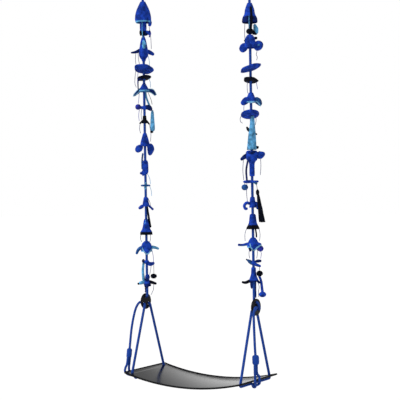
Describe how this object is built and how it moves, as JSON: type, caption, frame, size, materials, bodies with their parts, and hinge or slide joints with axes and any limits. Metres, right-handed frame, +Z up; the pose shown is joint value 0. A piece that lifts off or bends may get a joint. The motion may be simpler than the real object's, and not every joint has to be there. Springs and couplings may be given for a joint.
{
  "type": "rope swing",
  "caption": "Hanging swing with a curved black plate seat, blue rope bridles through three-hole discs, and ropes threaded with crocheted bells, discs and pendants.",
  "frame": {"origin": "on the ceiling, midway between the two ceiling plates", "axes": "+X along the seat to its right end, +Y to the back of the seat, +Z up into the ceiling"},
  "size_m": [0.6638, 0.298, 1.905],
  "materials": {
    "seat_black": "satin black powder coat on a thin bent plate",
    "disc_black": "dark matt moulded disc",
    "steel": "plain brushed steel",
    "rope_blue": "braided blue rope",
    "yarn_blue": "crocheted cobalt blue yarn",
    "yarn_light_blue": "crocheted light blue yarn",
    "yarn_violet": "crocheted violet blue yarn",
    "yarn_black": "black and navy yarn"
  },
  "bodies": {
    "hangers": {"left_ceiling_plate": "steel", "right_ceiling_plate": "steel"},
    "links": {"left_link": "steel", "right_link": "steel"},
    "left_strand": {"left_ball_bar": "yarn_violet", "left_black_disc": "yarn_black", "left_blue_disc": "yarn_blue", "left_bow": "yarn_black", "left_brim_bell": "yarn_light_blue", "left_bud_flower": "yarn_blue", "left_cone_bell": "yarn_blue", "left_low_bell": "yarn_light_blue", "left_main_rope": "rope_blue", "left_petal_bell": "yarn_blue", "left_rimmed_bell": "yarn_blue", "left_sleeve": "yarn_blue", "left_small_bell": "yarn_black", "left_star": "yarn_blue", "left_thimble": "steel", "left_thin_ring": "yarn_light_blue", "left_top_bell": "yarn_blue", "left_top_eye": "rope_blue", "left_wide_flower": "yarn_blue"},
    "right_strand": {"right_black_disc": "yarn_black", "right_blue_disc": "yarn_blue", "right_cone_flower": "yarn_blue", "right_curl_bell": "yarn_blue", "right_knob": "yarn_black", "right_long_cone": "yarn_light_blue", "right_low_bell": "yarn_blue", "right_main_rope": "rope_blue", "right_petal_bell": "yarn_blue", "right_rimmed_bell": "yarn_blue", "right_side_flower": "yarn_blue", "right_thimble": "steel", "right_thin_ring": "yarn_blue", "right_top_bell": "yarn_blue", "right_top_eye": "rope_blue", "right_twin_petals": "yarn_blue", "right_wavy_disc": "yarn_blue", "right_wide_flower": "yarn_blue"},
    "carrier": {"left_rope_foot": "rope_blue", "right_rope_foot": "rope_blue"},
    "seat": {"seat_plate": "seat_black", "left_disc": "disc_black", "left_front_leg": "rope_blue", "left_back_leg": "rope_blue", "left_under_run": "rope_blue", "left_tail": "rope_blue", "right_disc": "disc_black", "right_front_leg": "rope_blue", "right_back_leg": "rope_blue", "right_under_run": "rope_blue", "right_tail": "rope_blue"},
    "left_long_pendant": {"left_long_pendant": "yarn_light_blue"},
    "left_pompon": {"left_pompon": "yarn_black"},
    "right_bead_pendant": {"right_bead_pendant": "yarn_light_blue"},
    "right_tassel": {"right_tassel": "yarn_black"},
    "right_pompon": {"right_pompon": "yarn_black"},
    "right_drop_pendant": {"right_drop_pendant": "yarn_blue"}
  },
  "joints": [
    {"name": "swing", "type": "hinge", "parent": "hangers", "child": "links", "pos_m": [0, 0, -0.034], "axis": [1, 0, 0], "range_deg": [-45, 45]},
    {"name": "left_sway", "type": "hinge", "parent": "links", "child": "left_strand", "pos_m": [-0.2785, 0, -0.078], "axis": [0, 1, 0], "range_deg": [-10, 10]},
    {"name": "right_sway", "type": "hinge", "parent": "links", "child": "right_strand", "pos_m": [0.2785, 0, -0.078], "axis": [0, 1, 0], "range_deg": [-10, 10]},
    {"name": "seat_level", "type": "hinge", "parent": "left_strand", "child": "carrier", "pos_m": [-0.2785, 0, -1.495], "axis": [0, 1, 0], "range_deg": [-10, 10]},
    {"name": "seat_tilt", "type": "hinge", "parent": "carrier", "child": "seat", "pos_m": [0, 0, -1.54525], "axis": [1, 0, 0], "range_deg": [-15, 15]},
    {"name": "left_long_pendant_swing", "type": "hinge", "parent": "left_strand", "child": "left_long_pendant", "pos_m": [-0.24983, 0.02007, -0.71266], "axis": [0.8192, 0.5736, 0], "range_deg": [-25, 25]},
    {"name": "left_pompon_swing", "type": "hinge", "parent": "left_strand", "child": "left_pompon", "pos_m": [-0.25311, 0.01778, -1.40215], "axis": [0.8192, 0.5736, 0], "range_deg": [-25, 25]},
    {"name": "right_bead_swing", "type": "hinge", "parent": "right_strand", "child": "right_bead_pendant", "pos_m": [0.25311, -0.01778, -1.0493], "axis": [0.8192, 0.5736, 0], "range_deg": [-12, 12]},
    {"name": "right_tassel_swing", "type": "hinge", "parent": "right_strand", "child": "right_tassel", "pos_m": [0.30569, -0.01268, -1.0493], "axis": [0.8192, 0.5736, 0], "range_deg": [-12, 1]},
    {"name": "right_pompon_swing", "type": "hinge", "parent": "right_strand", "child": "right_pompon", "pos_m": [0.311, -0.00573, -1.39362], "axis": [0.9848, -0.1736, 0], "range_deg": [-20, 20]},
    {"name": "right_drop_swing", "type": "hinge", "parent": "right_strand", "child": "right_drop_pendant", "pos_m": [0.30619, 0.01939, -1.4583], "axis": [0.8192, 0.5736, 0], "range_deg": [-15, 15]}
  ],
  "couplings": [
    {"joint": "right_sway", "follows": "left_sway", "ratio": 1},
    {"joint": "seat_level", "follows": "left_sway", "ratio": -1}
  ]
}
